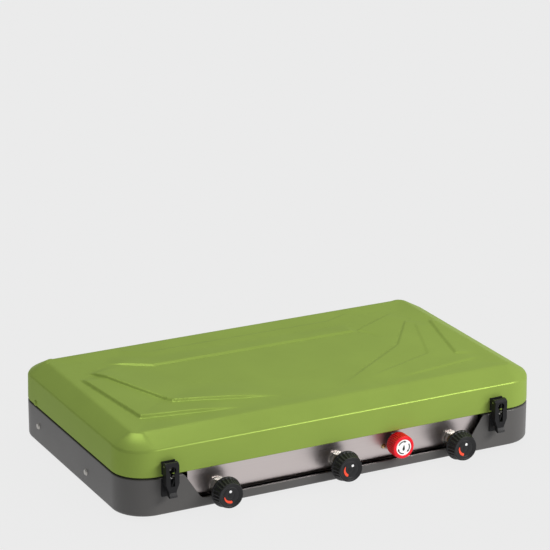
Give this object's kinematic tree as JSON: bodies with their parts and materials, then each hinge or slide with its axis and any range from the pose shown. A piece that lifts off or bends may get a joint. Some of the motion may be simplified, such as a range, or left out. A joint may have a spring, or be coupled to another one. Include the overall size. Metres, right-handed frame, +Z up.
{
  "type": "camping stove",
  "caption": "Flat table-top gas camping stove, closed: sheet-steel base, hinged pressed lid with clip latches, and control knobs on a recessed steel front panel.",
  "frame": {"origin": "on the ground, under the middle of the stove", "axes": "+Z up, the controls face -Y, +X to the right of somebody at the controls"},
  "size_m": [0.5482, 0.3765, 0.099],
  "materials": {
    "lid_paint": "satin",
    "base_paint": "satin",
    "stainless": "brushed",
    "chrome_wire": "polished",
    "zinc_steel": "bright",
    "brass": "turned",
    "cast_alloy": "cast",
    "cap_enamel": "matt enamel",
    "ceramic": "unglazed ceramic",
    "knob_black": "satin",
    "latch_black": "moulded",
    "igniter_red": "gloss",
    "face_white": "printed",
    "rubber": "matt",
    "lead_insulation": "satin"
  },
  "bodies": {
    "base": {"base_shell": "base_paint", "rubber_feet": "rubber", "foot_screws": "zinc_steel", "base_side_screws": "zinc_steel", "front_panel": "stainless", "panel_screw": "brass", "hob_tray": "stainless", "deck_screws": "zinc_steel", "lid_bumpers": "rubber", "left_burner_body": "cast_alloy", "left_burner_cap": "cap_enamel", "right_burner_body": "cast_alloy", "right_burner_cap": "cap_enamel", "mixing_tubes": "zinc_steel", "grill_housing": "stainless", "grill_plate": "ceramic", "grill_guard": "chrome_wire", "electrode_ceramics": "face_white", "electrode_tips": "zinc_steel", "ignition_leads": "lead_insulation", "pan_support": "chrome_wire", "gas_pipe": "zinc_steel", "gas_inlet": "brass", "inlet_locknut": "brass", "tap_glands": "brass", "tap_collars": "zinc_steel", "gas_jets": "brass", "left_tap_body": "brass", "centre_tap_body": "brass", "right_tap_body": "brass", "igniter_body": "latch_black", "igniter_bezel": "latch_black", "base_hinge_leaves": "zinc_steel", "hinge_pins": "zinc_steel", "base_rivets": "zinc_steel", "latch_catches": "latch_black"},
    "lid": {"lid_shell": "lid_paint", "lid_rivets": "lid_paint", "lid_hinge_leaves": "zinc_steel", "lid_leaf_rivets": "zinc_steel", "latch_brackets": "latch_black", "latch_pins": "zinc_steel", "latch_screws": "zinc_steel"},
    "left_latch": {"left_latch_clip": "latch_black", "left_latch_lock_pin": "zinc_steel"},
    "right_latch": {"right_latch_clip": "latch_black", "right_latch_lock_pin": "zinc_steel"},
    "left_tap": {"left_tap_plug": "brass"},
    "left_control": {"left_tap_stem": "brass", "left_knob": "knob_black"},
    "centre_tap": {"centre_tap_plug": "brass"},
    "centre_control": {"centre_tap_stem": "brass", "centre_knob": "knob_black"},
    "right_tap": {"right_tap_plug": "brass"},
    "right_control": {"right_tap_stem": "brass", "right_knob": "knob_black"},
    "igniter": {"igniter_shaft": "zinc_steel", "igniter_knob": "igniter_red", "igniter_disc": "face_white"}
  },
  "joints": [
    {"name": "lid_hinge", "type": "hinge", "parent": "base", "child": "lid", "pos_m": [0, 0.1636, 0.053], "axis": [-1, 0, 0], "range_deg": [0, 100]},
    {"name": "left_latch_swing", "type": "hinge", "parent": "lid", "child": "left_latch", "pos_m": [-0.2202, -0.1675, 0.0685], "axis": [-1, 0, 0], "range_deg": [0, 60]},
    {"name": "right_latch_swing", "type": "hinge", "parent": "lid", "child": "right_latch", "pos_m": [0.2105, -0.1675, 0.0685], "axis": [-1, 0, 0], "range_deg": [0, 60]},
    {"name": "left_knob_turn", "type": "hinge", "parent": "base", "child": "left_tap", "pos_m": [-0.154, -0.13, 0.0261], "axis": [0, -1, 0], "range_deg": [0, 270]},
    {"name": "left_knob_push", "type": "slide", "parent": "left_tap", "child": "left_control", "axis": [0, 1, 0], "range_m": [0, 0.003], "stiffness_N_per_m": 500, "springref_m": -0.002},
    {"name": "centre_knob_turn", "type": "hinge", "parent": "base", "child": "centre_tap", "pos_m": [0, -0.13, 0.0286], "axis": [0, -1, 0], "range_deg": [0, 270]},
    {"name": "centre_knob_push", "type": "slide", "parent": "centre_tap", "child": "centre_control", "axis": [0, 1, 0], "range_m": [0, 0.003], "stiffness_N_per_m": 500, "springref_m": -0.002},
    {"name": "right_knob_turn", "type": "hinge", "parent": "base", "child": "right_tap", "pos_m": [0.154, -0.13, 0.0261], "axis": [0, -1, 0], "range_deg": [0, 270]},
    {"name": "right_knob_push", "type": "slide", "parent": "right_tap", "child": "right_control", "axis": [0, 1, 0], "range_m": [0, 0.003], "stiffness_N_per_m": 500, "springref_m": -0.002},
    {"name": "igniter_turn", "type": "hinge", "parent": "base", "child": "igniter", "pos_m": [0.0759, -0.15, 0.0382], "axis": [0, 1, 0], "continuous": true}
  ]
}
